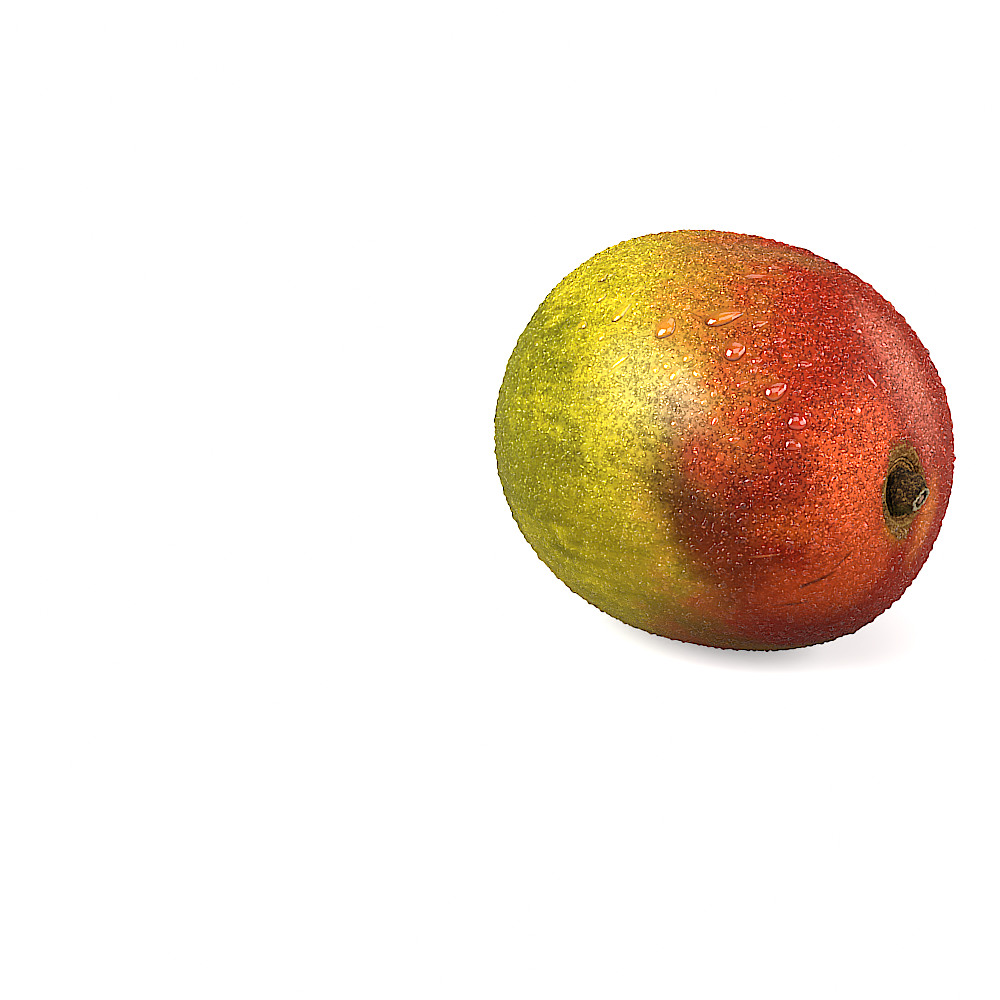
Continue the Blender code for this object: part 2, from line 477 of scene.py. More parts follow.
# Right, up and back of a view from an azimuth and an elevation
def viewAxes(azimuth, elevation):
    turn = math.radians(azimuth)
    rise = math.radians(elevation)
    back = Vector((math.sin(turn) * math.cos(rise), -math.cos(turn) * math.cos(rise), math.sin(rise)))
    right = Vector((math.cos(turn), math.sin(turn), 0.0))
    return right, back.cross(right), back


def boxAxes(box):
    return viewAxes(camera["azimuth"] + box["from"][0], box["from"][1])


windowBox = softBoxes[0]
viewRight, viewUp, viewBack = viewAxes(camera["azimuth"], camera["elevation"])


# The fine skin is made about the body's centre, then moved to where the frame's fruit is
def ringSwings():
    firstSteps = skinMesh["firstSteps"]
    swings = [skinMesh["floorSwing"] * (i + 1) / firstSteps for i in range(firstSteps)]
    step = skinMesh["fineStep"]
    while swings[-1] + 1.5 * step < 180.0:
        swings.append(swings[-1] + step)
        step = min(step * skinMesh["growth"], skinMesh["coarseStep"])
    return np.radians(swings)


def gridDirections():
    pole = heading(hollow["side"], hollow["up"])
    turn = np.array(Vector((1.0, 0.0, 0.0)).rotation_difference(pole).to_matrix())
    swings = ringSwings()
    around = 2.0 * math.pi * np.arange(skinMesh["around"]) / skinMesh["around"]
    swingGrid, aroundGrid = np.meshgrid(swings, around, indexing="ij")
    grid = np.stack([
        np.cos(swingGrid),
        np.sin(swingGrid) * np.cos(aroundGrid),
        np.sin(swingGrid) * np.sin(aroundGrid),
    ], axis=-1).reshape(-1, 3)
    grid = np.vstack([[1.0, 0.0, 0.0], grid, [-1.0, 0.0, 0.0]])
    return grid @ turn.T, len(swings)


def skinRelief(points, share, inward):
    relief = np.zeros(len(points))
    lipEven, lipUneven = skinMesh["lipRagged"]
    for i, point in enumerate(points):
        place = Vector(point)
        relief[i] = skinMesh["swellHeight"] * noise.noise(place * skinMesh["swellScale"])
        if share[i] > skinMesh["corkBelow"]:
            cork = noise.fractal(place * skinMesh["corkScale"], 1.0, 2.0, 4)
            inside = min(max(share[i] + skinMesh["corkOverlap"], 0.0), 1.0)
            relief[i] += hollow["corkRelief"] * cork * inside
            lip = math.exp(-((inward[i] + skinMesh["lipShift"]) / hollow["lipWidth"]) ** 2)
            relief[i] += hollow["lipHeight"] * lip * (lipEven + lipUneven * cork)
    return relief


def makeSkin(material):
    directions, ringCount = gridDirections()
    points, share, inward = skinPoints(directions)
    points = points + skinNormals(directions) * skinRelief(points, share, inward)[:, None]
    low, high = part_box("fruit")
    shift = np.array([
        (low[0] + high[0] - points[:, 0].min() - points[:, 0].max()) / 2.0,
        (low[1] + high[1] - points[:, 1].min() - points[:, 1].max()) / 2.0,
        low[2] - points[:, 2].min() - body["restCut"],
    ])
    points = points + shift
    points[:, 2] = np.maximum(points[:, 2], low[2])
    made = meshObject("mangoSkin", points, ringFaces(ringCount, skinMesh["around"]), material)
    limit = skinMesh["gapLimit"]
    markPoints(made, "hollowShare", np.clip(share, farShare, 1.0))
    markPoints(made, "rimGap", np.clip(inward, -limit, limit) / millimetre)
    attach(made, "root")
    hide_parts("fruit")
    return made, Vector(shift)


skinMaterial = bpy.data.materials.new("mangoSkin")
skin, bodyCentre = makeSkin(skinMaterial)
skinTree = BVHTree.FromObject(skin, bpy.context.evaluated_depsgraph_get())
note(f"skin laid, {len(skin.data.vertices)} points, centre {tuple(round(v, 4) for v in bodyCentre)}")


def makeCamera():
    pixel = camera["distance"] * camera["sensor"] / (camera["lens"] * camera["frameSize"])
    middle = camera["frameSize"] / 2.0
    aside = (camera["fruitPixel"][0] - middle) * pixel
    below = (camera["fruitPixel"][1] - middle) * pixel
    data = bpy.data.cameras.new("camera")
    data.lens = camera["lens"]
    data.sensor_width = camera["sensor"]
    data.clip_start = 0.01
    data.clip_end = 50.0
    made = bpy.data.objects.new("camera", data)
    made.location = bodyCentre - viewRight * aside + viewUp * below + viewBack * camera["distance"]
    made.rotation_mode = "QUATERNION"
    made.rotation_quaternion = Matrix((viewRight, viewUp, viewBack)).transposed().to_quaternion()
    scene.collection.objects.link(made)
    scene.camera = made
    return made


view = makeCamera()


# Point and normal of the skin that shows at a pixel of the photograph
def skinAtPixel(pixel):
    middle = camera["frameSize"] / 2.0
    scale = camera["sensor"] / (camera["lens"] * camera["frameSize"])
    way = viewRight * (pixel[0] - middle) * scale - viewUp * (pixel[1] - middle) * scale - viewBack
    return skinTree.ray_cast(view.location, way.normalized())[:2]


# Direction along the skin that leans from level by an angle in the picture
def leaningAlong(lean, normal):
    lean = math.radians(lean)
    along = viewRight * math.cos(lean) + viewUp * math.sin(lean)
    return (along - normal * along.dot(normal)).normalized()


# Skin colours. Patches are placed by the pixel of the photograph that they are centred on, or
# by a heading from the middle of the fruit where the photograph doesn't show them.
skinLook = {
    "blushHeading": (42.5, -2.0),
    "blushCentre": -0.004,
    "blushSpan": 0.066,
    "stops": [
        (-0.10, paint(126, 122, 14)),
        (0.04, paint(172, 158, 18)),
        (0.14, paint(186, 168, 22)),
        (0.26, paint(184, 158, 32)),
        (0.37, paint(176, 126, 34)),
        (0.51, paint(166, 88, 28)),
        (0.65, paint(154, 49, 14)),
        (0.78, paint(146, 35, 10)),
        (1.00, paint(148, 37, 13)),
    ],
    "blushSway": (("slowSway", 0.5), ("cloudSway", 0.30), ("streakSway", 0.26)),
    # Noises: scale per millimetre, detail, roughness, distortion
    "slow": (0.045, 4.0, 0.55),
    "cloud": (0.16, 5.0, 0.6),
    "streak": (1.0, 6.0, 0.6, 0.4),
    "streakStretch": (0.05, 0.42, 0.42),
    "grain": (1.6, 3.0, 0.7),
    "sway": (0.9, 2.0, 0.5),
    "fleckFrom": (0.36, 0.66),
    "patchRagged": 0.9,
    "patchStreaks": 0.7,
    "toneSway": (("fleck", 0.10), ("streakSway", 0.5), ("cloudSway", 0.45)),
    "shadePowers": (1.2, 1.6),   # green and blue fade faster than red in the dark parts
    "darkest": 0.24,
    "mist": {"Spacing": 0.80, "Size": 0.42, "Glint Size": 0.54},
    "mistRise": (24.0, 62.0),    # millimetres above the floor over which the mist, its painted glints and painted shade set in; lower down they are faint, where less light falls
    "mistLow": 0.20,
    "warp": 0.55,
    "redFrom": (0.3, 0.7),
    "rimShade": (0.60, 1.10),     # painted shade round a bead of mist, on the yellow and on the red
    "rimShadeMiddle": 0.38,
    "glint": 2.3,                # how much a painted glint brightens the colour under it
    # Painted glints: the colour off them, and a pale colour added on them, more on the red
    "offGlint": 0.86,
    "paintedGlintLift": (0.4, 1.25),
    "paintedGlintColor": paint(104, 84, 66),
    "paintedDropLight": 0.65,            # painted light on the skin where a drop gathers the light
    "dots": {"Spacing": 2.4, "Size": 0.075, "Softness": 0.5, "Missing": 0.25},
    "dotStrength": 0.55,
    "dotColor": paint(214, 150, 84),
    "roughness": 0.36,
    "roughnessSway": (("cloud", 0.14), ("fleck", 0.04)),
    "grainHeight": 0.7,
    "dotHeight": 0.4,
    "bump": 0.00022,
    "ior": 1.45,
    "specular": 0.10,
}

# Scar in the hollow, and the pale lip round it
scarLook = {
    "cork": {
        "Scale": 1.3,
        "Dark": paint(44, 22, 8), "Middle": paint(148, 94, 36), "Pale": paint(226, 176, 102),
    },
    "ragged": (("cloudSway", 1.6), ("fleck", 0.35)),
    "tailWay": (-0.85, -0.53),   # right and up in the picture
    "tailReach": 4.0,
    "tailDepth": 2.2,
    "edge": (-0.5, 0.1),
    "ringSway": 0.5,
    "ringCount": 26.0,
    "ringEdge": (-0.2, 0.8),
    "ringFrom": (0.35, 0.6),
    "ringDark": -0.75,
    # Painted light: the cork is brightened deeper in the hollow, where it lies in shade
    "paintedHollowLightFrom": (0.3, 1.0),
    "paintedHollowLightShare": (1.0, 2.2),
    "lipShift": 0.25,
    "lipSway": 1.6,
    "lipReach": (0.08, 0.42),
    "lipGrain": (0.4, 0.62),
    "lipStreaks": (0.40, 0.56, 0.25, 0.85),
    "lipColor": paint(230, 186, 96),
    "roughness": 0.4,
    "corkHeight": 3.0,
    "ringHeight": -1.5,
}
skinPatches = [
    {"name": "green far rim", "pixel": (520, 340), "reach": 6.5, "stretch": 3.6, "lean": 62,
     "color": paint(128, 124, 14), "strength": 0.2, "softness": 0.95},
    # Painted sheen where the window light would shine on the cheek
    {"name": "painted sheen on the cheek", "pixel": (646, 384), "reach": 14.0, "stretch": 1.5, "lean": -45,
     "color": paint(198, 186, 98), "strength": 0.6, "softness": 0.9},
    # Painted highlight: the brightest pinkish spot of the window's reflection
    {"name": "painted highlight spot", "pixel": (680, 404), "reach": 8.5, "stretch": 1.4, "lean": -60,
     "color": paint(204, 158, 126), "strength": 0.55, "softness": 0.95},
    {"name": "brown top", "pixel": (765, 252), "reach": 9.0, "stretch": 3.0, "lean": -12,
     "color": paint(150, 98, 48), "strength": 0.7, "softness": 0.9},
    # Partly the skin's own dark maroon, partly painted shadow over the lower left
    {"name": "dark cheek and painted shadow", "pixel": (696, 510), "reach": 18.5, "stretch": 1.7, "lean": -55,
     "color": paint(74, 26, 7), "strength": 0.92, "softness": 0.9},
    {"name": "red shoulder", "pixel": (880, 425), "reach": 10.0, "stretch": 1.5, "lean": -72,
     "color": paint(232, 90, 44), "strength": 0.6, "softness": 0.95},
    {"name": "olive low edge", "pixel": (704, 630), "reach": 10.0, "stretch": 2.4, "lean": -56,
     "color": paint(108, 88, 8), "strength": 0.6, "softness": 0.95},
    {"name": "red low edge", "pixel": (706, 462), "reach": 8.0, "stretch": 1.6, "lean": -60,
     "color": paint(176, 54, 18), "strength": 0.6, "softness": 0.95},
    {"name": "deep red middle", "pixel": (764, 512), "reach": 11.0, "stretch": 1.6, "lean": -55,
     "color": paint(100, 20, 5), "strength": 0.6, "softness": 0.95},
    # Partly the skin's own maroon, partly painted shadow low on the fruit
    {"name": "low maroon and painted shadow", "pixel": (738, 572), "reach": 14.0, "stretch": 1.6, "lean": -50,
     "color": paint(112, 36, 10), "strength": 0.75, "softness": 0.8},
    {"name": "warm low", "pixel": (822, 592), "reach": 13.0, "stretch": 1.7, "lean": 12,
     "color": paint(224, 84, 24), "strength": 0.7, "softness": 0.9},
    {"name": "amber spot", "pixel": (790, 527), "reach": 6.5, "stretch": 1.9, "lean": 10,
     "color": paint(190, 80, 16), "strength": 0.5, "softness": 0.9},
    {"name": "warm right", "pixel": (858, 500), "reach": 17.0, "stretch": 1.8, "lean": -75,
     "color": paint(234, 96, 42), "strength": 0.75, "softness": 0.9},
    {"name": "dark wine", "pixel": (788, 472), "reach": 8.5, "stretch": 1.7, "lean": -50,
     "color": paint(128, 38, 18), "strength": 0.65, "softness": 0.9},
    {"name": "amber rim", "pixel": (926, 520), "reach": 6.5, "stretch": 2.2, "lean": 68,
     "color": paint(214, 118, 46), "strength": 0.7, "softness": 0.9},
    {"name": "olive foot", "pixel": (790, 648), "reach": 7.0, "stretch": 5.0, "lean": 12,
     "color": paint(160, 124, 30), "strength": 0.7, "softness": 0.9},
    {"name": "olive low cheek", "pixel": (590, 530), "reach": 24.0, "stretch": 1.5, "lean": -50,
     "color": paint(124, 112, 10), "strength": 0.65, "softness": 0.95},
    # Painted sheen where the light from the right would shine
    {"name": "painted pink sheen", "pixel": (908, 374), "reach": 12.5, "stretch": 2.3, "lean": -66,
     "color": paint(212, 110, 84), "strength": 0.75, "softness": 0.9},
    {"name": "stem halo", "pixel": (893, 517), "reach": 7.0, "stretch": 1.4, "lean": -50,
     "color": paint(186, 132, 20), "strength": 0.85, "softness": 0.9},
    {"name": "scar tip", "pixel": (899, 456), "reach": 2.2, "stretch": 1.7, "lean": 72,
     "color": paint(160, 112, 46), "strength": 0.6, "softness": 0.7},
    {"name": "long scuff", "pixel": (818, 580), "reach": 0.7, "stretch": 13.0, "lean": 32,
     "color": paint(66, 24, 10), "strength": 0.75, "softness": 0.9},
    {"name": "short scuff", "pixel": (842, 561), "reach": 0.5, "stretch": 9.0, "lean": 48,
     "color": paint(78, 28, 12), "strength": 0.65, "softness": 0.9},
    {"name": "low scuff", "pixel": (792, 604), "reach": 0.6, "stretch": 11.0, "lean": 20,
     "color": paint(70, 30, 10), "strength": 0.6, "softness": 0.9},
    {"name": "pale graze", "pixel": (765, 556), "reach": 0.5, "stretch": 10.0, "lean": 14,
     "color": paint(206, 112, 54), "strength": 0.5, "softness": 0.9},
    {"name": "far blush", "heading": (160, 20), "reach": 26.0, "stretch": 1.5, "lean": 20,
     "color": paint(184, 112, 34), "strength": 0.6, "softness": 0.9},
    {"name": "far red", "heading": (95, 30), "reach": 30.0, "stretch": 1.6, "lean": 30,
     "color": paint(160, 52, 24), "strength": 0.7, "softness": 0.9},
]


def patchFrame(patch):
    if "pixel" in patch:
        place, normal = skinAtPixel(patch["pixel"])
    else:
        way = heading(*patch["heading"])
        place, normal = skinTree.ray_cast(bodyCentre + way * 0.2, -way)[:2]
    return place, leaningAlong(patch["lean"], normal)


# Values that several parts of the skin's look share
def skinFields(tree):
    place = placeOutput(tree)
    centred = vectorMath(tree, "SUBTRACT", place, tuple(bodyCentre / millimetre))
    lengthwise = addNode(tree, "ShaderNodeMapping", {"Vector": centred, "Scale": skinLook["streakStretch"]})
    fields = {
        "place": place,
        "centred": centred,
        "slow": noiseOutputs(tree, place, *skinLook["slow"])[0],
        "cloud": noiseOutputs(tree, place, *skinLook["cloud"])[0],
        "streak": noiseOutputs(tree, lengthwise.outputs[0], *skinLook["streak"])[0],
        "grain": noiseOutputs(tree, place, *skinLook["grain"])[0],
        "depth": readMark(tree, "hollowShare"),
    }
    for name in ("slow", "cloud", "streak"):
        fields[f"{name}Sway"] = doMath(tree, "SUBTRACT", fields[name], 0.5)
    fields["fleck"] = spread(tree, fields["grain"], *skinLook["fleckFrom"], -1.0, 1.0)
    return fields


def addFields(tree, total, fields, weights):
    return addUp(tree, total, [(fields[name], weight) for name, weight in weights])


# From green through yellow to red, across the fruit
def blushField(tree, fields):
    along = vectorMath(tree, "DOT_PRODUCT", fields["centred"], tuple(heading(*skinLook["blushHeading"])))
    span = skinLook["blushSpan"] / millimetre
    blush = doMath(tree, "MULTIPLY_ADD", along, 1.0 / span, 0.5 - skinLook["blushCentre"] / millimetre / span)
    return addFields(tree, blush, fields, skinLook["blushSway"])


def blushColor(tree, blush):
    stops = skinLook["stops"]
    low = stops[0][0]
    ramp = addNode(tree, "ShaderNodeValToRGB", {"Fac": spread(tree, blush, low, 1.0, smooth=False)})
    while len(ramp.color_ramp.elements) < len(stops):
        ramp.color_ramp.elements.new(0.5)
    for element, (position, shade) in zip(ramp.color_ramp.elements, stops):
        element.position = (position - low) / (1.0 - low)
        element.color = shade
    return ramp.outputs["Color"]


def layPatches(tree, fields, color):
    breakup = addUp(tree, fields["cloudSway"], [(fields["streakSway"], skinLook["patchStreaks"])])
    for patch in skinPatches:
        centre, along = patchFrame(patch)
        mask = useGroup(tree, patchGroup, {
            "Place": fields["place"], "Centre": tuple(centre / millimetre), "Along": tuple(along),
            "Reach": float(patch["reach"]), "Stretch": patch["stretch"], "Softness": patch["softness"],
            "Ragged": skinLook["patchRagged"], "Breakup": breakup,
        })["Mask"]
        color = blendColor(tree, multiply(tree, mask, patch["strength"]), color, patch["color"])
    return color


def scarField(tree, fields):
    ragged = addFields(tree, fields["depth"], fields, scarLook["ragged"])
    fromFloor = vectorMath(tree, "SUBTRACT", fields["centred"], tuple(Vector(floorPlace) / millimetre))
    tailRight, tailUp = scarLook["tailWay"]
    aside = vectorMath(tree, "DOT_PRODUCT", fromFloor, tuple(tailRight * viewRight + tailUp * viewUp))
    tail = spread(tree, aside, 0.0, scarLook["tailReach"], 0.0, scarLook["tailDepth"])
    return spread(tree, doMath(tree, "ADD", ragged, tail), *scarLook["edge"])


# Mist on the skin, with its painted glints and painted shade, and where the skin is wet with it
def layMist(tree, fields, scar):
    place = fields["place"]
    sway = noiseOutputs(tree, place, *skinLook["sway"])["Color"]
    sway = vectorMath(tree, "SUBTRACT", sway, (0.5, 0.5, 0.5))
    warped = vectorMath(tree, "ADD", place, vectorMath(tree, "SCALE", sway, scale=2.0 * skinLook["warp"]))
    towardWindow = tuple(boxAxes(windowBox)[2])
    mist = useGroup(tree, mistGroup, {"Place": warped, "Toward Light": towardWindow, **skinLook["mist"]})
    wet = inverse(tree, doMath(tree, "MAXIMUM", scar, readMark(tree, "underDrop")))
    rise = addNode(tree, "ShaderNodeSeparateXYZ", {0: place}).outputs[2]
    wet = multiply(tree, wet, spread(tree, rise, *skinLook["mistRise"], skinLook["mistLow"], 1.0))
    return mist, wet


# The skin's own speckle over the blush, with painted light and shade: painted shade round the mist's beads,
# painted glints, and painted light under drops
def shadeSkin(tree, fields, blush, mist, wet, color):
    bright = addFields(tree, 1.0, fields, skinLook["toneSway"])
    rimShade = multiply(tree, doMath(tree, "SUBTRACT", skinLook["rimShadeMiddle"], mist["Painted Shade Rim"]), wet)
    contrast = spread(tree, blush, *skinLook["redFrom"], *skinLook["rimShade"])
    glint = multiply(tree, mist["Glint"], wet)
    bright = multiply(
        tree,
        bright,
        addUp(tree, 1.0, [(rimShade, contrast)]),
        addUp(tree, 1.0, [(readMark(tree, "paintedDropLight"), skinLook["paintedDropLight"])]),
        addUp(tree, skinLook["offGlint"], [(glint, skinLook["glint"])]),
    )
    bright = doMath(tree, "MAXIMUM", bright, skinLook["darkest"])
    greenPower, bluePower = skinLook["shadePowers"]
    warmShade = addNode(tree, "ShaderNodeCombineColor", {
        0: bright, 1: doMath(tree, "POWER", bright, greenPower), 2: doMath(tree, "POWER", bright, bluePower),
    }).outputs[0]
    color = blendColor(tree, 1.0, color, warmShade, "MULTIPLY")
    # Painted glints: a pale colour added on top of them, more on the red
    paintedGlintLift = multiply(tree, glint, spread(tree, blush, *skinLook["redFrom"], *skinLook["paintedGlintLift"]))
    return blendColor(tree, paintedGlintLift, color, skinLook["paintedGlintColor"], "ADD")


# Cork with rings in the hollow, painted light deep in the hollow, and the broken pale lip round it
def layScar(tree, fields, scar, color):
    depth = fields["depth"]
    cork = useGroup(tree, corkGroup, {"Place": fields["place"], **scarLook["cork"]})
    phase = addUp(tree, depth, [(fields["cloudSway"], scarLook["ringSway"])])
    rings = doMath(tree, "SINE", multiply(tree, phase, scarLook["ringCount"]))
    rings = spread(tree, rings, *scarLook["ringEdge"])
    rings = multiply(tree, rings, spread(tree, depth, *scarLook["ringFrom"]))
    # Painted light deep in the hollow, with the rings' dark bands in it
    pale = spread(tree, depth, *scarLook["paintedHollowLightFrom"], *scarLook["paintedHollowLightShare"])
    pale = multiply(tree, pale, addUp(tree, 1.0, [(rings, scarLook["ringDark"])]))
    shade = addNode(tree, "ShaderNodeCombineColor", {0: pale, 1: pale, 2: pale}).outputs[0]
    color = blendColor(tree, scar, color, blendColor(tree, 1.0, cork["Color"], shade, "MULTIPLY"))
    gap = doMath(tree, "ADD", readMark(tree, "rimGap"), scarLook["lipShift"])
    offLip = doMath(tree, "ABSOLUTE", addUp(tree, gap, [(fields["cloudSway"], scarLook["lipSway"])]))
    lip = multiply(
        tree,
        inverse(tree, spread(tree, offLip, *scarLook["lipReach"])),
        spread(tree, fields["grain"], *scarLook["lipGrain"]),
        spread(tree, fields["streak"], *scarLook["lipStreaks"]),
    )
    return cork, rings, blendColor(tree, lip, color, scarLook["lipColor"])


def dressSkin(material):
    material.use_nodes = True
    tree = material.node_tree
    shader = tree.nodes["Principled BSDF"]
    fields = skinFields(tree)
    blush = blushField(tree, fields)
    color = layPatches(tree, fields, blushColor(tree, blush))
    scar = scarField(tree, fields)
    mist, wet = layMist(tree, fields, scar)
    color = shadeSkin(tree, fields, blush, mist, wet, color)
    dots = useGroup(tree, dotsGroup, {"Place": fields["place"], **skinLook["dots"]})["Mask"]
    color = blendColor(tree, multiply(tree, dots, skinLook["dotStrength"]), color, skinLook["dotColor"])
    cork, rings, color = layScar(tree, fields, scar, color)
    tree.links.new(color, shader.inputs["Base Color"])

    rough = addFields(tree, skinLook["roughness"], fields, skinLook["roughnessSway"])
    rough = addUp(tree, rough, [(scar, scarLook["roughness"])])
    tree.links.new(rough, shader.inputs["Roughness"])

    height = addUp(tree, multiply(tree, mist["Dome"], wet), [
        (fields["grain"], skinLook["grainHeight"]),
        (multiply(tree, cork["Height"], scar), scarLook["corkHeight"]),
        (rings, scarLook["ringHeight"]),
        (dots, skinLook["dotHeight"]),
    ])
    bump = addNode(tree, "ShaderNodeBump", {"Height": height, "Strength": 1.0, "Distance": skinLook["bump"]})
    tree.links.new(bump.outputs[0], shader.inputs["Normal"])
    shader.inputs["IOR"].default_value = skinLook["ior"]
    shader.inputs["Specular IOR Level"].default_value = skinLook["specular"]


dressSkin(skinMaterial)
note("skin coloured")


# Stem stub
stemLook = {
    "sides": 120,
    "length": 0.0057,
    "footGap": 0.0003,
    "collarRadius": 0.00505,
    "barrelRadius": 0.0045,
    "cutRadius": 0.0027,
    "lobes": 3,
    "lobeHeight": 0.035,
    "foot": (-0.9, 5.3),
    "cut": (5.9, -20.6),
    "barkRelief": 0.00048,
    "barkScale": 700.0,
    "cutRelief": 0.00022,
    "cutFrom": 0.9,
    "cutScale": 1900.0,
    "profileSteps": 5,
    "bark": {
        "Scale": 1.25,
        "Dark": paint(16, 8, 2), "Middle": paint(68, 42, 12), "Pale": paint(176, 130, 62),
    },
    # Noises: scale per millimetre, detail, roughness
    "wobble": (1.8, 4.0, 0.5),
    "chips": (2.6, 3.0, 0.7),
    "chipped": (0.42, 0.52, 0.15, 1.0),
    "nearCut": (-0.45, -0.2),    # millimetres from the cut end
    "nearCore": (-0.6, -0.3),
    "rimReach": (0.66, 0.80),    # shares of the cut's radius
    "coreReach": (0.30, 0.46),
    "rimColor": paint(255, 240, 196),
    "coreColor": paint(226, 176, 146),
    "grooves": 7.0,
    "grooveEdge": (0.1, 0.9),
    "grooveEnd": (2.4, 3.0, 1.0, 0.0),
    "grooveStrength": 0.85,
    "grooveColor": paint(14, 7, 4),
    "mossFrom": (-0.5, -3.2),    # millimetres above the middle of the foot
    "mossBreaks": (0.35, 0.6),
    "mossStrength": 0.7,
    "mossColor": paint(98, 92, 20),
    "roughness": 0.7,
    "specular": 0.15,
    "bump": 0.0009,
}
stemFoot = bodyCentre + Vector(floorPlace) + Vector(floorAxes[:, 0]) * stemLook["footGap"]


def stemProfile():
    collar = stemLook["collarRadius"]
    barrel = stemLook["barrelRadius"]
    cut = stemLook["cutRadius"]
    top = stemLook["length"]
    return [
        (collar - 0.0002, 0.0),
        (collar, 0.0004),
        (collar - 0.0001, 0.0008),
        (collar - 0.0005, 0.0010),
        (collar - 0.0003, 0.0013),
        (collar - 0.0004, 0.0016),
        (barrel - 0.00015, 0.0018),
        (barrel, 0.0022),
        (barrel - 0.0003, 0.55 * top),
        ((barrel + cut) / 2.0 + 0.0003, 0.76 * top),
        (cut + 0.0002, 0.92 * top),
        (cut, top),
        (0.80 * cut, top),
        (0.72 * cut, top - 0.0005),
        (0.50 * cut, top - 0.0005),
        (0.42 * cut, top - 0.0001),
    ]


def bentFrame(height):
    foot = heading(*stemLook["foot"])
    bend = foot.rotation_difference(heading(*stemLook["cut"]))
    place = Vector()
    steps = 8
    for i in range(steps):
        share = (i + 0.5) / steps * height / stemLook["length"]
        place += (Quaternion().slerp(bend, share) @ foot) * (height / steps)
    return place, Quaternion().slerp(bend, height / stemLook["length"])


def makeStem(material):
    axes = Matrix(floorAxes.tolist())
    corners = stemProfile()
    rings = []
    for (radius, height), (nextRadius, nextHeight) in zip(corners, corners[1:]):
        for step in range(stemLook["profileSteps"]):
            share = step / stemLook["profileSteps"]
            rings.append((radius + (nextRadius - radius) * share, height + (nextHeight - height) * share))
    rings.append(corners[-1])
    points = [stemFoot]
    for radius, height in rings:
        place, turn = bentFrame(height)
        for i in range(stemLook["sides"]):
            around = 2.0 * math.pi * i / stemLook["sides"]
            lobed = 1.0 - stemLook["lobeHeight"] * (1.0 - math.cos(stemLook["lobes"] * around)) / 2.0
            spoke = turn @ (axes @ Vector((0.0, math.cos(around), math.sin(around))))
            point = stemFoot + place + spoke * (radius * lobed)
            rough = noise.fractal(point * stemLook["barkScale"], 1.0, 2.0, 4)
            point += spoke * (stemLook["barkRelief"] * rough)
            if height > stemLook["cutFrom"] * stemLook["length"]:
                chip = noise.fractal(point * stemLook["cutScale"], 1.0, 2.0, 3)
                point += turn @ axes.col[0] * (stemLook["cutRelief"] * (chip - 0.5))
            points.append(point)
    points.append(stemFoot + bentFrame(stemLook["length"])[0])
    made = meshObject("stemStub", points, ringFaces(len(rings), stemLook["sides"], True), material)
    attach(made, "root")
    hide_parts("stem")


# Cut end: a pale ring with a paler core
def layCut(tree, place, wobble, color):
    cutWay = tuple(heading(*stemLook["cut"]))
    cutMiddle = (stemFoot + bentFrame(stemLook["length"])[0]) / millimetre
    fromCut = vectorMath(tree, "SUBTRACT", place, tuple(cutMiddle))
    rise = vectorMath(tree, "DOT_PRODUCT", fromCut, cutWay)
    flat = vectorMath(tree, "SUBTRACT", fromCut, vectorMath(tree, "SCALE", cutWay, scale=rise))
    radius = vectorMath(tree, "LENGTH", flat)
    radius = doMath(tree, "ADD", radius, doMath(tree, "SUBTRACT", wobble, 0.5))
    rise = doMath(tree, "MULTIPLY_ADD", wobble, 0.5, doMath(tree, "SUBTRACT", rise, 0.25))
    cutRadius = stemLook["cutRadius"] / millimetre
    rimFrom, rimTo = (share * cutRadius for share in stemLook["rimReach"])
    coreFrom, coreTo = (share * cutRadius for share in stemLook["coreReach"])
    chips = noiseOutputs(tree, place, *stemLook["chips"])[0]
    rim = multiply(
        tree,
        spread(tree, rise, *stemLook["nearCut"]),
        spread(tree, radius, rimFrom, rimTo),
        spread(tree, chips, *stemLook["chipped"]),
    )
    core = multiply(
        tree,
        inverse(tree, spread(tree, radius, coreFrom, coreTo)),
        spread(tree, rise, *stemLook["nearCore"]),
    )
    color = blendColor(tree, rim, color, stemLook["rimColor"])
    return blendColor(tree, core, color, stemLook["coreColor"])


def dressStem(material):
    material.use_nodes = True
    tree = material.node_tree
    shader = tree.nodes["Principled BSDF"]
    place = placeOutput(tree)
    bark = useGroup(tree, corkGroup, {"Place": place, **stemLook["bark"]})
    wobble = noiseOutputs(tree, place, *stemLook["wobble"])[0]
    fromFoot = vectorMath(tree, "SUBTRACT", place, tuple(stemFoot / millimetre))
    lowness = vectorMath(tree, "DOT_PRODUCT", fromFoot, (0.0, 0.0, 1.0))
    mossy = multiply(
        tree,
        spread(tree, lowness, *stemLook["mossFrom"]),
        spread(tree, wobble, *stemLook["mossBreaks"]),
        stemLook["mossStrength"],
    )
    footRise = vectorMath(tree, "DOT_PRODUCT", fromFoot, tuple(heading(*stemLook["foot"])))
    footRise = doMath(tree, "MULTIPLY_ADD", wobble, 0.5, footRise)
    groove = doMath(tree, "SINE", multiply(tree, footRise, stemLook["grooves"]))
    groove = multiply(
        tree,
        spread(tree, groove, *stemLook["grooveEdge"]),
        spread(tree, footRise, *stemLook["grooveEnd"]),
        stemLook["grooveStrength"],
    )
    color = blendColor(tree, mossy, bark["Color"], stemLook["mossColor"])
    color = blendColor(tree, groove, color, stemLook["grooveColor"])
    tree.links.new(layCut(tree, place, wobble, color), shader.inputs["Base Color"])
    shader.inputs["Roughness"].default_value = stemLook["roughness"]
    shader.inputs["Specular IOR Level"].default_value = stemLook["specular"]
    bump = addNode(tree, "ShaderNodeBump", {
        "Height": bark["Height"], "Strength": 1.0, "Distance": stemLook["bump"],
    })
    tree.links.new(bump.outputs[0], shader.inputs["Normal"])


stemMaterial = bpy.data.materials.new("stemWood")
makeStem(stemMaterial)
dressStem(stemMaterial)
note("stem set")


# Water: clear, and open to lamp light so that the skin under a drop isn't black; its colour turns darker at
# the rim, as painted shade
waterLook = {"ior": 1.45, "shadeRimFrom": 0.42, "shadeRimTo": 0.85, "dropShadeRim": (0.74, 0.96), "coatIor": 1.75}


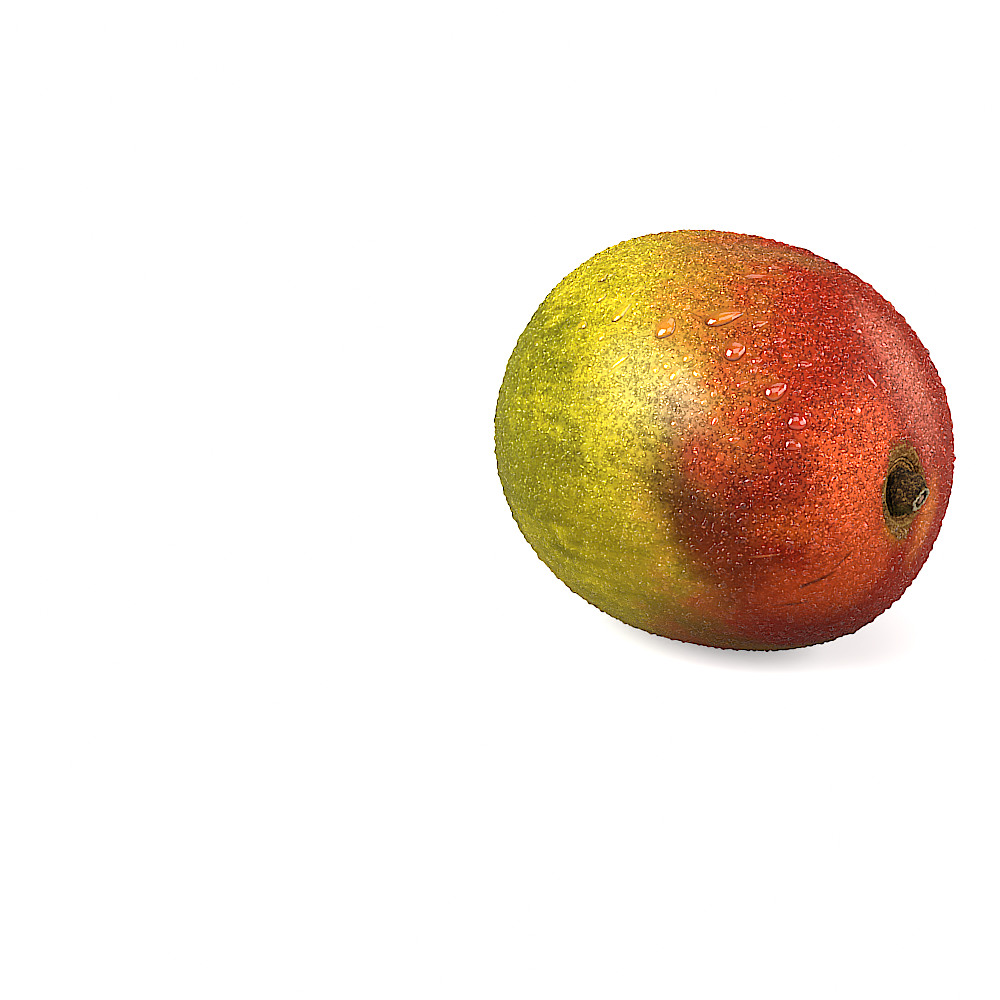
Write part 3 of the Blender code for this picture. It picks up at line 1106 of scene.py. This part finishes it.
def makeWater(name, tint, edge, edgeFromRing=False):
    material = bpy.data.materials.new(name)
    material.use_nodes = True
    tree = material.node_tree
    shader = tree.nodes["Principled BSDF"]
    output = tree.nodes["Material Output"]
    # Painted shade: the colour darkens towards a drop's rim, or where a bead's surface turns away from the
    # view
    if edgeFromRing:
        share = spread(tree, readMark(tree, "ringShare"), *waterLook["dropShadeRim"])
        shader.inputs["Coat Weight"].default_value = 1.0
        shader.inputs["Coat Roughness"].default_value = 0.0
        shader.inputs["Coat IOR"].default_value = waterLook["coatIor"]
    else:
        facing = addNode(tree, "ShaderNodeLayerWeight", {"Blend": 0.5}).outputs["Facing"]
        share = spread(tree, facing, waterLook["shadeRimFrom"], waterLook["shadeRimTo"])
    tree.links.new(blendColor(tree, share, tint, edge), shader.inputs["Base Color"])
    shader.inputs["Roughness"].default_value = 0.0
    shader.inputs["Metallic"].default_value = 0.0
    shader.inputs["Transmission Weight"].default_value = 1.0
    shader.inputs["IOR"].default_value = waterLook["ior"]
    clear = addNode(tree, "ShaderNodeBsdfTransparent")
    path = addNode(tree, "ShaderNodeLightPath")
    mix = addNode(tree, "ShaderNodeMixShader", {0: path.outputs["Is Shadow Ray"]})
    tree.links.new(shader.outputs[0], mix.inputs[1])
    tree.links.new(clear.outputs[0], mix.inputs[2])
    tree.links.new(mix.outputs[0], output.inputs["Surface"])
    return material


# Second colour: the painted shade at each bead's or drop's rim
dewWater = makeWater("dewWater", (1.0, 1.0, 1.0, 1.0), paint(120, 84, 56))
dropWater = makeWater("dropWater", paint(255, 230, 184), paint(72, 36, 14), True)

# Dew: small round beads all over, laid out evenly with a seeded shake
fineDew = {
    "name": "fineDew", "spacing": 0.00165, "shake": 0.48, "radius": 0.00040, "variety": 0.34,
    "smallest": 0.00024, "largest": 0.00085, "height": 0.62, "sides": 10, "rings": 3, "pieces": 4,
    "lowest": 0.004, "seed": 11,
}
broadDew = {
    "name": "broadDew", "spacing": 0.0031, "shake": 0.48, "radius": 0.00066, "variety": 0.26,
    "smallest": 0.0004, "largest": 0.0012, "height": 0.6, "sides": 14, "rings": 3, "pieces": 1,
    "lowest": 0.008, "seed": 23,
}


# Even spread of directions over the sphere, on a spiral
def spiralDirections(count):
    index = np.arange(count) + 0.5
    height = 1.0 - 2.0 * index / count
    turn = math.pi * (1.0 + math.sqrt(5.0)) * index
    level = np.sqrt(1.0 - height ** 2)
    return np.stack([level * np.cos(turn), level * np.sin(turn), height], axis=1)


def dewPlaces(dew):
    meanRadius = (body["length"] + body["breadth"] + body["thickness"]) / 6.0
    count = int(4.0 * math.pi * meanRadius ** 2 / dew["spacing"] ** 2)
    draw = np.random.default_rng(dew["seed"])
    directions = spiralDirections(count)
    shake = draw.uniform(-1.0, 1.0, (count, 3)) * dew["shake"] * dew["spacing"] / meanRadius
    directions = unit(directions + shake)
    radius = dew["radius"] * np.exp(draw.normal(0.0, dew["variety"], count))
    radius = np.clip(radius, dew["smallest"], dew["largest"])
    points, share, inward = skinPoints(directions)
    points = points + np.array(bodyCentre)
    points = np.array([skinTree.find_nearest(Vector(point))[0] for point in points])
    normals = skinNormals(directions)
    spin = draw.uniform(0.0, 2.0 * math.pi, count)
    oval = 1.0 + 0.25 * draw.uniform(0.0, 1.0, count)
    keep = (points[:, 2] > dew["lowest"]) & (inward < -0.0008) & (dropDistance(points) > 1.05)
    return points[keep], normals[keep], radius[keep], spin[keep], oval[keep]


def beadShape(dew):
    sides = dew["sides"]
    ball = (1.0 + dew["height"] ** 2) / (2.0 * dew["height"])
    edge = math.asin(1.0 / ball) if dew["height"] < 1.0 else math.pi / 2.0
    rings = [(0.97, -0.22)]
    for ring in range(dew["rings"] + 1):
        tilt = edge * (1.0 - ring / (dew["rings"] + 1.0))
        rings.append((ball * math.sin(tilt), ball * (math.cos(tilt) - math.cos(edge))))
    points = []
    for radius, height in rings:
        for i in range(sides):
            around = 2.0 * math.pi * i / sides
            points.append((radius * math.cos(around), radius * math.sin(around), height))
    points.append((0.0, 0.0, dew["height"]))
    faces = [tuple(reversed(range(sides)))]
    for ring in range(len(rings) - 1):
        for i in range(sides):
            j = (i + 1) % sides
            near = ring * sides
            faces.append((near + i, near + j, near + sides + j, near + sides + i))
    last = (len(rings) - 1) * sides
    for i in range(sides):
        faces.append((last + i, last + (i + 1) % sides, len(points) - 1))
    return np.array(points), faces


def makeDew(dew):
    points, normals, radius, spin, oval = dewPlaces(dew)
    shape, faces = beadShape(dew)
    helper = np.where(np.abs(normals[:, 2:3]) < 0.9, [[0.0, 0.0, 1.0]], [[1.0, 0.0, 0.0]])
    first = unit(np.cross(helper, normals))
    second = np.cross(normals, first)
    across = first * np.cos(spin)[:, None] + second * np.sin(spin)[:, None]
    along = np.cross(normals, across)
    for piece in range(dew["pieces"]):
        pick = slice(piece * len(points) // dew["pieces"], (piece + 1) * len(points) // dew["pieces"])
        local = shape[None, :, :] * radius[pick, None, None]
        laid = (
            points[pick, None, :]
            + across[pick, None, :] * local[:, :, 0:1] * oval[pick, None, None]
            + along[pick, None, :] * local[:, :, 1:2] / oval[pick, None, None]
            + normals[pick, None, :] * local[:, :, 2:3]
        ).reshape(-1, 3)
        starts = [bead * len(shape) for bead in range(len(points[pick]))]
        allFaces = [tuple(start + corner for corner in face) for start in starts for face in faces]
        beadPiece = meshObject(f"{dew['name']}{piece + 1}", laid, allFaces, dewWater)
        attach(beadPiece, "root")
    note(f"{dew['name']}: {len(points)} beads")


# Big drops and runs of water, by the pixel that they show at: length and width in mm, lean of the
# long axis in the picture, and how far the drop narrows towards its upper end
dropShape = {
    "sides": 48, "rings": 14, "sink": 0.00018, "foot": 0.00035, "waviness": 0.10, "seed": 5,
    "flatness": 0.54, "fullness": 0.60, "searchSteps": 8, "taper": 0.95, "headDip": 0.35, "sinkPower": 6,
    "dryReach": 1.25, "dryFade": 0.4, "glowReach": 1.3, "glowNear": 0.01, "farAway": 9.0,
}
drops = [
    {"pixel": (622, 312), "size": (6.6, 3.7), "lean": 47, "narrow": 0.75, "height": 0.62},
    {"pixel": (666, 328), "size": (5.8, 5.2), "lean": 70, "narrow": 0.20, "height": 0.80},
    {"pixel": (724, 318), "size": (8.6, 5.2), "lean": 12, "narrow": 0.50, "height": 0.85},
    {"pixel": (735, 351), "size": (5.2, 5.6), "lean": 20, "narrow": 0.25, "height": 0.90},
    {"pixel": (618, 363), "size": (6.8, 2.6), "lean": 219, "narrow": 0.85, "height": 0.50},
    {"pixel": (636, 290), "size": (3.8, 1.8), "lean": 38, "narrow": 0.60, "height": 0.45},
    {"pixel": (604, 278), "size": (3.4, 2.7), "lean": 60, "narrow": 0.30, "height": 0.90},
    {"pixel": (602, 298), "size": (3.0, 2.4), "lean": 40, "narrow": 0.30, "height": 0.90},
    {"pixel": (583, 325), "size": (3.6, 2.8), "lean": -40, "narrow": 0.30, "height": 0.90},
    {"pixel": (602, 337), "size": (2.6, 2.1), "lean": 60, "narrow": 0.30, "height": 0.90},
    {"pixel": (653, 305), "size": (2.1, 2.0), "lean": 30, "narrow": 0.20, "height": 0.90},
    {"pixel": (656, 370), "size": (1.8, 2.0), "lean": 0, "narrow": 0.10, "height": 0.90},
    {"pixel": (675, 374), "size": (4.0, 2.4), "lean": 50, "narrow": 0.40, "height": 0.60},
    {"pixel": (688, 358), "size": (3.1, 2.7), "lean": 10, "narrow": 0.25, "height": 0.90},
    {"pixel": (686, 308), "size": (2.3, 2.2), "lean": 50, "narrow": 0.20, "height": 0.90},
    {"pixel": (667, 366), "size": (2.6, 2.2), "lean": -30, "narrow": 0.20, "height": 0.90},
    {"pixel": (697, 374), "size": (3.1, 2.4), "lean": -50, "narrow": 0.30, "height": 0.90},
    {"pixel": (760, 324), "size": (4.0, 2.8), "lean": 20, "narrow": 0.60, "height": 0.80},
    {"pixel": (757, 361), "size": (2.5, 2.4), "lean": 30, "narrow": 0.20, "height": 0.90},
    {"pixel": (755, 276), "size": (6.0, 2.4), "lean": 4, "narrow": 0.30, "height": 0.40},
    {"pixel": (775, 268), "size": (3.6, 2.1), "lean": -24, "narrow": 0.30, "height": 0.90},
    {"pixel": (799, 277), "size": (2.1, 1.8), "lean": -20, "narrow": 0.20, "height": 0.90},
    {"pixel": (760, 302), "size": (2.1, 2.0), "lean": -20, "narrow": 0.20, "height": 0.90},
    {"pixel": (754, 370), "size": (2.5, 2.1), "lean": 60, "narrow": 0.20, "height": 0.90},
    {"pixel": (805, 365), "size": (3.4, 2.6), "lean": 12, "narrow": 0.40, "height": 0.85},
    {"pixel": (776, 391), "size": (5.6, 4.6), "lean": 28, "narrow": 0.35, "height": 0.85},
    {"pixel": (797, 422), "size": (4.4, 4.2), "lean": -30, "narrow": 0.20, "height": 0.85},
    {"pixel": (793, 445), "size": (3.8, 3.0), "lean": -15, "narrow": 0.30, "height": 0.80},
    {"pixel": (767, 438), "size": (2.0, 1.8), "lean": 70, "narrow": 0.20, "height": 0.90},
    {"pixel": (714, 393), "size": (2.6, 2.0), "lean": 75, "narrow": 0.30, "height": 0.90},
    {"pixel": (715, 421), "size": (2.9, 1.7), "lean": 72, "narrow": 0.30, "height": 0.90},
    {"pixel": (734, 440), "size": (2.6, 2.2), "lean": 10, "narrow": 0.20, "height": 0.90},
    {"pixel": (674, 424), "size": (2.2, 2.2), "lean": 60, "narrow": 0.10, "height": 0.90},
    {"pixel": (857, 331), "size": (2.6, 2.4), "lean": -30, "narrow": 0.20, "height": 0.90},
    {"pixel": (871, 380), "size": (4.4, 1.6), "lean": -45, "narrow": 0.40, "height": 0.50},
    {"pixel": (856, 411), "size": (2.5, 2.7), "lean": 0, "narrow": 0.10, "height": 0.90},
    {"pixel": (745, 410), "size": (2.2, 1.8), "lean": 40, "narrow": 0.20, "height": 0.90},
    {"pixel": (704, 402), "size": (2.1, 1.8), "lean": 60, "narrow": 0.20, "height": 0.90},
    {"pixel": (780, 341), "size": (2.9, 2.1), "lean": 20, "narrow": 0.30, "height": 0.90},
    {"pixel": (742, 384), "size": (3.1, 2.0), "lean": 30, "narrow": 0.40, "height": 0.90},
]


def dropSite(drop):
    middle, normal = skinAtPixel(drop["pixel"])
    along = leaningAlong(drop["lean"], normal)
    halfLength, halfWidth = drop["size"][0] * millimetre / 2.0, drop["size"][1] * millimetre / 2.0
    return middle, normal, along, normal.cross(along), halfLength, halfWidth


dropSites = [dropSite(drop) for drop in drops]


# Even skin, without its relief, beside points that lie near it
def smoothSkin(points):
    target = points - np.array(bodyCentre)
    radii = np.array([body["length"], body["breadth"], body["thickness"]]) / 2.0
    directions = unit(target / radii)
    for step in range(dropShape["searchSteps"]):
        directions = unit(directions + (target - skinPoints(directions)[0]) / radii)
    return skinPoints(directions)[0] + np.array(bodyCentre), skinNormals(directions)


# How far points of the skin are from the nearest drop: 1 at its edge
def dropDistance(points):
    nearest = np.full(len(points), dropShape["farAway"])
    for middle, normal, along, across, halfLength, halfWidth in dropSites:
        away = points - np.array(middle)
        share = np.hypot(away @ np.array(along) / halfLength, away @ np.array(across) / halfWidth)
        share[np.linalg.norm(away, axis=1) > 2.0 * halfLength + halfWidth] = dropShape["farAway"]
        nearest = np.minimum(nearest, share)
    return nearest


# Skin under the drops: no dew there, and painted light on the side away from the window
def markDrops():
    points = np.zeros(len(skin.data.vertices) * 3, dtype=np.float32)
    skin.data.vertices.foreach_get("co", points)
    points = points.reshape(-1, 3)
    under = np.clip((dropShape["dryReach"] - dropDistance(points)) / dropShape["dryFade"], 0.0, 1.0)
    glow = np.zeros(len(points))
    back = boxAxes(windowBox)[2]
    for middle, normal, along, across, halfLength, halfWidth in dropSites:
        away = points - np.array(middle)
        alongShare = away @ np.array(along) / halfLength
        acrossShare = away @ np.array(across) / halfWidth
        farShare = -(alongShare * along.dot(back) + acrossShare * across.dot(back))
        inside = np.clip(dropShape["glowReach"] - np.hypot(alongShare, acrossShare), 0.0, 1.0)
        inside *= np.linalg.norm(away, axis=1) < dropShape["glowNear"]
        # Painted light, strongest on the drop's side away from the window
        glow = np.maximum(glow, inside * smoothStep(0.5 + farShare))
    markPoints(skin, "underDrop", under)
    markPoints(skin, "paintedDropLight", glow)


def makeDrops():
    draw = np.random.default_rng(dropShape["seed"])
    sides = dropShape["sides"]
    turn = 2.0 * math.pi * np.arange(sides) / sides
    levels = np.append(1.0, 1.0 - np.arange(dropShape["rings"]) / dropShape["rings"])
    share = np.append(0.0, np.append(np.repeat(levels, sides), 0.0))
    around = np.append(0.0, np.append(np.tile(turn, len(levels)), 0.0))
    points = []
    faces = []
    for drop, (middle, normal, along, across, halfLength, halfWidth) in zip(drops, dropSites):
        phases = draw.uniform(0.0, 2.0 * math.pi, 3)
        wave = sum(np.sin((k + 2) * around + phases[k]) / (k + 2) for k in range(3))
        reach = share * (1.0 + dropShape["waviness"] * wave * share)
        taper = 1.0 - dropShape["taper"] * drop["narrow"] * smoothStep((1.0 + np.cos(around)) / 2.0)
        flat = np.outer(halfLength * np.cos(around) * reach, along)
        flat += np.outer(halfWidth * np.sin(around) * taper * reach, across)
        rest, normals = smoothSkin(flat + np.array(middle))
        headDip = 1.0 - dropShape["headDip"] * drop["narrow"] * share * np.cos(around)
        bulk = halfWidth * drop["height"] * dropShape["flatness"] * headDip
        height = bulk * (1.0 - share ** 2) ** dropShape["fullness"]
        height -= dropShape["sink"] * share ** dropShape["sinkPower"]
        height[:sides + 1] = -dropShape["foot"]
        dropFaces = ringFaces(len(levels), sides, True)
        faces += [tuple(len(points) + corner for corner in face) for face in dropFaces]
        points += list(rest + normals * height[:, None])
    made = meshObject("bigDrops", points, faces, dropWater)
    markPoints(made, "ringShare", np.tile(share, len(drops)))
    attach(made, "root")
    note(f"{len(drops)} big drops")


markDrops()
makeDrops()
makeDew(fineDew)
makeDew(broadDew)


def makeFloorMaterial():
    material = bpy.data.materials.new("paleFloor")
    material.use_nodes = True
    tree = material.node_tree
    tree.nodes.remove(tree.nodes["Principled BSDF"])
    path = addNode(tree, "ShaderNodeLightPath")
    matte = addNode(tree, "ShaderNodeBsdfDiffuse", {"Color": studio["floorColor"]})
    dim = addNode(tree, "ShaderNodeBsdfDiffuse", {"Color": studio["floorBounce"]})
    coordinates = addNode(tree, "ShaderNodeTexCoord")
    away = vectorMath(tree, "LENGTH", coordinates.outputs["Object"])
    strength = spread(tree, away, *studio["glowReach"], *studio["floorGlow"])
    glow = addNode(tree, "ShaderNodeEmission", {"Strength": strength})
    both = addNode(tree, "ShaderNodeAddShader", {0: matte.outputs[0], 1: glow.outputs[0]})
    mix = addNode(tree, "ShaderNodeMixShader", {
        0: path.outputs["Is Camera Ray"], 1: dim.outputs[0], 2: both.outputs[0],
    })
    tree.links.new(mix.outputs[0], tree.nodes["Material Output"].inputs["Surface"])
    return material


def makeStudio():
    size = studio["floorSize"] / 2.0
    corners = [(-size, -size, 0.0), (size, -size, 0.0), (size, size, 0.0), (-size, size, 0.0)]
    floor = meshObject("studioFloor", corners, [(0, 1, 2, 3)], makeFloorMaterial())

    world = bpy.data.worlds.new("studioAir")
    scene.world = world
    world.use_nodes = True
    tree = world.node_tree
    background = tree.nodes["Background"]
    background.inputs["Color"].default_value = (1.0, 1.0, 1.0, 1.0)
    path = addNode(tree, "ShaderNodeLightPath")
    strength = spread(tree, path.outputs["Is Camera Ray"], 0.0, 1.0, studio["surround"], 1.0, smooth=False)
    tree.links.new(strength, background.inputs["Strength"])

    for box in softBoxes:
        data = bpy.data.lights.new(box["name"], "AREA")
        data.shape = "RECTANGLE"
        data.size = box["width"]
        data.size_y = box["height"]
        data.energy = box["power"]
        lamp = bpy.data.objects.new(box["name"], data)
        right, up, back = boxAxes(box)
        lamp.location = bodyCentre + back * box["distance"]
        lamp.rotation_mode = "QUATERNION"
        lamp.rotation_quaternion = Matrix((right, up, back)).transposed().to_quaternion()
        scene.collection.objects.link(lamp)


# The picture is a little crisper than the lens would give
def makeCrispPicture():
    scene.use_nodes = True
    tree = scene.node_tree
    tree.nodes.clear()
    layers = tree.nodes.new("CompositorNodeRLayers")
    capped = tree.nodes.new("CompositorNodeMixRGB")
    capped.blend_type = "DARKEN"
    capped.inputs[0].default_value = 1.0
    capped.inputs[2].default_value = (1.0, 1.0, 1.0, 1.0)
    crisp = tree.nodes.new("CompositorNodeFilter")
    crisp.filter_type = "SHARPEN"
    crisp.inputs["Fac"].default_value = studio["crispness"]
    out = tree.nodes.new("CompositorNodeComposite")
    tree.links.new(layers.outputs["Image"], capped.inputs[1])
    tree.links.new(capped.outputs["Image"], crisp.inputs["Image"])
    tree.links.new(crisp.outputs["Image"], out.inputs["Image"])


makeStudio()
makeCrispPicture()
note("studio lit")
